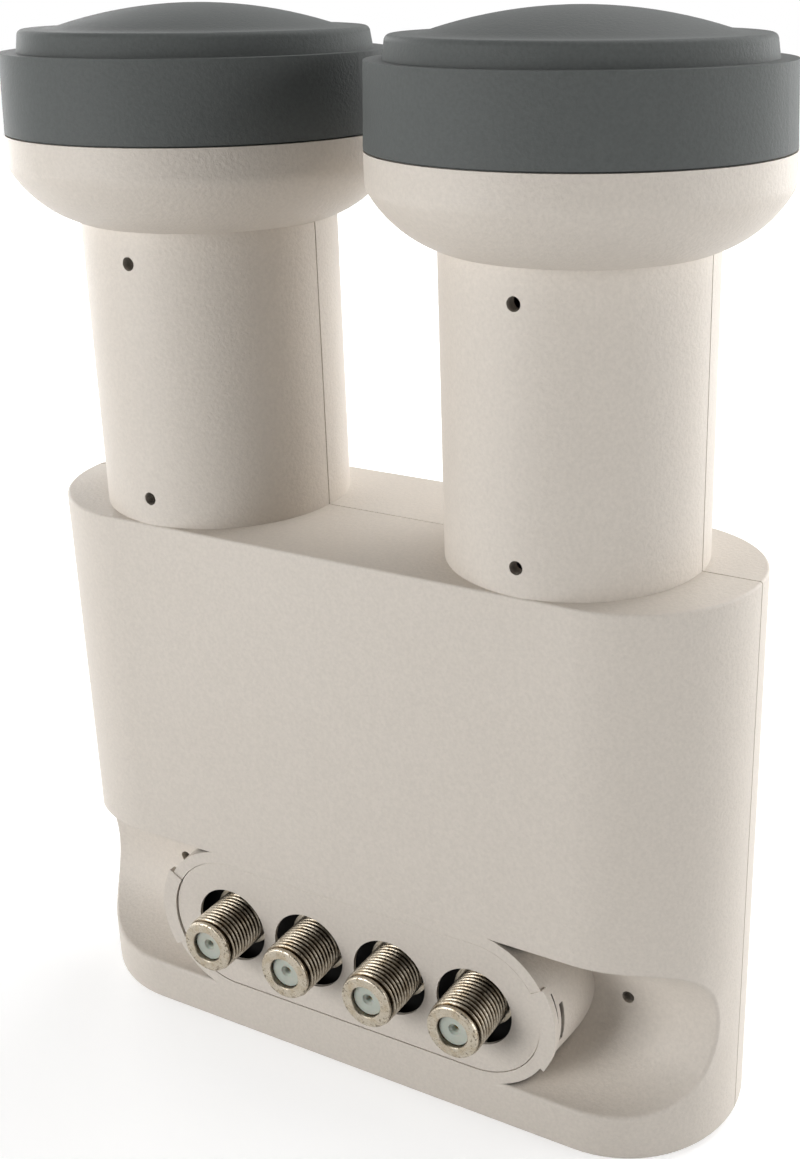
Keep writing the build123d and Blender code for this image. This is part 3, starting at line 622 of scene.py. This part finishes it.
def output_body(sizes):
    """A threaded output, its end face at Y = 0 and its axis along Y."""
    # The core lies a little below the thread's roots, so that the two join in one solid.
    core_radius = sizes.thread_radius - sizes.depth - 0.1 * MM
    shoulder_end = sizes.thread_length + sizes.shoulder_length
    flange_end = shoulder_end + sizes.flange_length
    back = flange_end + sizes.spigot_length
    bore, bore_edge = sizes.bore_radius, 0.15 * MM
    profile = [(bore, bore_edge), (bore + bore_edge, 0)]
    profile += rounded(sizes.nose_radius - sizes.edge, 0, sizes.nose_radius, sizes.edge)
    profile += [
        (sizes.nose_radius, sizes.lead), (core_radius, sizes.lead),
        (core_radius, sizes.thread_length), (sizes.shoulder_radius, sizes.thread_length),
        (sizes.shoulder_radius, shoulder_end), (sizes.flange_radius, shoulder_end),
        (sizes.flange_radius, flange_end), (sizes.spigot_radius, flange_end),
        (sizes.spigot_radius, back), (bore, back), (bore, bore_edge),
    ]
    core = turned("output_core", profile, sizes.segments)
    thread = threaded_rod("output_thread", sizes)
    # The thread is hollowed to a tube, so that it leaves the core's bore open.
    hollow_radius = core_radius - 0.3 * MM
    hole = turned("output_hole", [
        (0, -MM), (hollow_radius, -MM), (hollow_radius, back), (0, back),
    ], sizes.segments)
    combine(thread, hole, "DIFFERENCE")
    combine(core, thread, "UNION")
    smooth(core)
    mark_wear_and_shade(core, sizes)
    return core


def insulator_body(sizes):
    """The insulator, with a funnel that leads the cable's core into its hole."""
    outside = sizes.bore_radius - 0.05 * MM
    hole, funnel = sizes.hole_radius, sizes.funnel_radius
    edge, dish = 0.1 * MM, 0.12 * MM
    face = sizes.set_back
    dished = face + dish
    throat = face + sizes.funnel_depth
    back = sizes.thread_length + sizes.shoulder_length + sizes.flange_length + sizes.spigot_length
    profile = [(outside, back), (outside, face + edge), (outside - edge, face)]
    profile += [(outside * 0.8, face + 0.3 * dish), (outside * 0.6, face + 0.8 * dish)]
    profile += [(funnel + edge, dished)]
    profile += rounded(funnel + 0.05 * MM, dished, funnel - edge, dished + edge, 3)
    profile += [(hole + 0.05 * MM, throat), (hole, throat + 0.06 * MM), (hole, back)]
    profile += [(outside, back)]
    body = turned("insulator_core", profile, sizes.segments)
    smooth(body)
    return body


# The pieces and the stage

class LNB_OT_dress_housing(bpy.types.Operator):
    """Gives the shells, collars and plate their moulded plastic"""
    bl_idname = "lnb.dress_housing"
    bl_label = "Housing"

    def execute(self, context):
        finish = context.scene.lnb_finish
        plastic = textured_plastic(
            "asa_housing", finish.housing, finish.grit, roughness=0.5, contrast=0.045,
            grain_height=0.11, gloss=0.35,
        )
        coat(["front_shell", "rear_shell", "connector_plate"], plastic)
        coat([f"feed_collar_{side}" for side in FEEDS], plastic)
        return {"FINISHED"}


class LNB_OT_dress_caps(bpy.types.Operator):
    """Gives the caps their matte grey plastic"""
    bl_idname = "lnb.dress_caps"
    bl_label = "Caps"

    def execute(self, context):
        finish = context.scene.lnb_finish
        plastic = textured_plastic(
            "polypropylene_cap", finish.cap, finish.grit, roughness=0.56, contrast=0.07,
            grain_height=0.1, gloss=0.08,
        )
        coat([f"feed_cap_{side}" for side in FEEDS], plastic)
        return {"FINISHED"}


class LNB_OT_dress_seals(bpy.types.Operator):
    """Gives the sealing pad and the cap seals their rubber"""
    bl_idname = "lnb.dress_seals"
    bl_label = "Seals"

    def execute(self, context):
        coat(["sealing_pad", *(f"cap_seal_{side}" for side in FEEDS)], seal_rubber())
        return {"FINISHED"}


class LNB_OT_make_outputs(bpy.types.Operator):
    """Models the threaded outputs with their insulators"""
    bl_idname = "lnb.make_outputs"
    bl_label = "Threaded outputs"

    def execute(self, context):
        sizes, finish = context.scene.lnb_output, context.scene.lnb_finish
        body, plated = output_body(sizes), nickel_plate(finish.nickel)
        copies_at_outputs(body, "threaded_output", "f_connector", plated)
        disc, milky = insulator_body(sizes), natural_polyethylene(finish.insulator)
        copies_at_outputs(
            disc, "output_insulator", "connector_insulator", milky,
        )
        coat([f"probe_bush_{side}" for side in FEEDS], milky)
        return {"FINISHED"}


class LNB_OT_dress_inside(bpy.types.Operator):
    """Gives the chassis, board, screws, horns and contacts their finishes"""
    bl_idname = "lnb.dress_inside"
    bl_label = "Inside"

    def execute(self, context):
        horns = [f"feed_horn_{side}" for side in FEEDS]
        coat(["chassis", "shield_cover", *horns], cast_aluminium())
        coat(["cover_screws", "horn_screws"], zinc_screw())
        coat(["circuit_board"], board_laminate(context.scene.lnb_finish.board))
        contacts = [f"connector_contact_{number}" for number in OUTPUTS]
        probes = [f"probe_{side}" for side in FEEDS]
        coat(contacts + probes, gold_contact())
        return {"FINISHED"}


def around(turn, lift, distance):
    """A place round the object, by its turn from the front and its lift above level in degrees."""
    turn, lift = math.radians(turn), math.radians(lift)
    level = math.cos(lift)
    return Vector((math.sin(turn) * level, -math.cos(turn) * level, math.sin(lift))) * distance


def soft_panel(name, place, size, brightness):
    """A large soft lamp that faces the object. Its surface has the brightness, where 1 is white."""
    data = bpy.data.lights.new(name, "AREA")
    data.shape = "RECTANGLE"
    data.size, data.size_y = size
    data.energy = brightness * math.pi * data.size * data.size_y
    panel = bpy.data.objects.new(name, data)
    bpy.context.scene.collection.objects.link(panel)
    panel.location = place
    panel.rotation_euler = (MIDDLE - place).to_track_quat("-Z", "Y").to_euler()
    panel.visible_camera = False


def seen_rays(owner):
    """1 for rays from the camera, from gloss or through glass, and 0 for light on the object."""
    path = add_node(owner, "ShaderNodeLightPath")
    seen = path.outputs["Is Camera Ray"]
    for kind in ("Is Glossy Ray", "Is Transmission Ray"):
        seen = add_node(owner, "ShaderNodeMath", {"operation": "MAXIMUM"}, {
            0: seen, 1: path.outputs[kind],
        }).outputs[0]
    return seen


def white_backdrop(fill):
    """White behind the object and in its reflections, with a softer level of light on it."""
    world = bpy.data.worlds.new("plain_studio")
    bpy.context.scene.world = world
    world.use_nodes = True
    world.node_tree.nodes.clear()
    strength = add_node(world, "ShaderNodeMapRange", None, {
        "Value": seen_rays(world), "To Min": fill, "To Max": 1.0,
    }).outputs["Result"]
    sky = add_node(world, "ShaderNodeBackground", None, {
        "Color": (1, 1, 1, 1), "Strength": strength,
    }).outputs["Background"]
    add_node(world, "ShaderNodeOutputWorld", None, {"Surface": sky})


def plain_floor(colour):
    """A pale floor that goes white where it is seen, and keeps the object's shadow."""
    select_only()
    bpy.ops.mesh.primitive_plane_add(size=4, location=(0, 0, 0))
    floor = bpy.context.active_object
    floor.name = "floor"
    material = new_material("painted_floor")
    paint = add_node(material, "ShaderNodeBsdfDiffuse", None, {
        "Color": opaque(colour),
    }).outputs["BSDF"]
    # The lamps light the floor near the object, so the glow there is weaker than far away.
    place = add_node(material, "ShaderNodeTexCoord").outputs["Object"]
    distance = add_node(material, "ShaderNodeVectorMath", {"operation": "LENGTH"}, {
        0: place,
    }).outputs["Value"]
    whiter = add_node(material, "ShaderNodeMapRange", None, {
        "Value": distance, "From Min": 0.1, "From Max": 0.5, "To Min": 0.55, "To Max": 1.0,
    }).outputs["Result"]
    lift = add_node(material, "ShaderNodeMath", {"operation": "MULTIPLY"}, {
        0: seen_rays(material), 1: whiter,
    }).outputs[0]
    glow = add_node(material, "ShaderNodeEmission", None, {"Strength": lift}).outputs["Emission"]
    both = add_node(material, "ShaderNodeAddShader", None, {0: paint, 1: glow}).outputs["Shader"]
    add_node(material, "ShaderNodeOutputMaterial", None, {"Surface": both})
    floor.data.materials.append(material)


def dark_card(place, size):
    """A dark card round the camera, seen only in reflections, so that bright metal has contrast."""
    select_only()
    bpy.ops.mesh.primitive_plane_add(size=size, location=(0, 0, 0))
    card = bpy.context.active_object
    card.name = "dark_card"
    facing = (-place).to_track_quat("Z", "Y").to_matrix().to_4x4()
    card.data.transform(Matrix.Translation(place) @ facing)
    for ray in ("camera", "diffuse", "transmission", "volume_scatter", "shadow"):
        setattr(card, f"visible_{ray}", False)
    material = new_material("black_cloth")
    cloth = add_node(material, "ShaderNodeBsdfDiffuse", None, {
        "Color": opaque(linear("#221D18")),
    }).outputs["BSDF"]
    add_node(material, "ShaderNodeOutputMaterial", None, {"Surface": cloth})
    card.data.materials.append(material)


def photo_camera(stage):
    """The camera, which stands as the photograph's did."""
    data = bpy.data.cameras.new("camera")
    camera = bpy.data.objects.new("camera", data)
    bpy.context.scene.collection.objects.link(camera)
    data.lens = stage.lens
    data.shift_x, data.shift_y = stage.shift
    data.clip_start, data.clip_end = 0.01, 10
    camera.location = stage.camera_place
    camera.rotation_euler = stage.camera_turn
    bpy.context.scene.camera = camera


class LNB_OT_make_stage(bpy.types.Operator):
    """Sets up the floor, the backdrop, the lamps and the camera"""
    bl_idname = "lnb.make_stage"
    bl_label = "Stage"

    def execute(self, context):
        stage = context.scene.lnb_stage
        context.scene.view_settings.view_transform = "Standard"
        plain_floor(stage.floor)
        white_backdrop(stage.fill)
        # Each panel's name, turn and lift in degrees, size in metres and brightness
        panels = (
            ("left_panel", -32, 12, (0.45, 0.7), stage.left),
            ("rear_left_panel", -112, 12, (0.7, 0.7), stage.rear_left),
            ("right_panel", 100, 12, (0.5, 0.7), stage.right),
            ("rear_right_panel", 152, 12, (0.5, 0.7), stage.rear_right),
            ("top_panel", 165, 60, (0.6, 0.5), stage.top),
        )
        for name, turn, lift, size, brightness in panels:
            soft_panel(name, around(turn, lift, LAMP_DISTANCE), size, brightness)
        dark_card(around(30, 42, 0.55), 0.6)
        photo_camera(stage)
        return {"FINISHED"}


class LNB_PT_dressing(bpy.types.Panel):
    """Lists the pieces, the stage and their settings"""
    bl_idname = "LNB_PT_dressing"
    bl_label = "Satellite LNB"
    bl_space_type = "VIEW_3D"
    bl_region_type = "UI"
    bl_category = "LNB"

    def draw(self, context):
        for group in SETTINGS:
            settings = getattr(context.scene, group)
            column = self.layout.column()
            for key in settings.__annotations__:
                column.prop(settings, key)
        for operator in OPERATORS:
            self.layout.operator(operator.bl_idname)


SETTINGS = {"lnb_finish": FinishSettings, "lnb_output": OutputSettings, "lnb_stage": StageSettings}
OPERATORS = (
    LNB_OT_dress_housing, LNB_OT_dress_caps, LNB_OT_dress_seals, LNB_OT_make_outputs,
    LNB_OT_dress_inside, LNB_OT_make_stage,
)
CLASSES = (*SETTINGS.values(), *OPERATORS, LNB_PT_dressing)


def register():
    for cls in CLASSES:
        bpy.utils.register_class(cls)
    for group, cls in SETTINGS.items():
        setattr(bpy.types.Scene, group, PointerProperty(type=cls))


def unregister():
    for group in SETTINGS:
        delattr(bpy.types.Scene, group)
    for cls in reversed(CLASSES):
        bpy.utils.unregister_class(cls)


def main():
    register()
    bpy.ops.lnb.dress_housing()
    bpy.ops.lnb.dress_caps()
    bpy.ops.lnb.dress_seals()
    bpy.ops.lnb.make_outputs()
    bpy.ops.lnb.dress_inside()
    bpy.ops.lnb.make_stage()


if __name__ == "__main__":
    main()
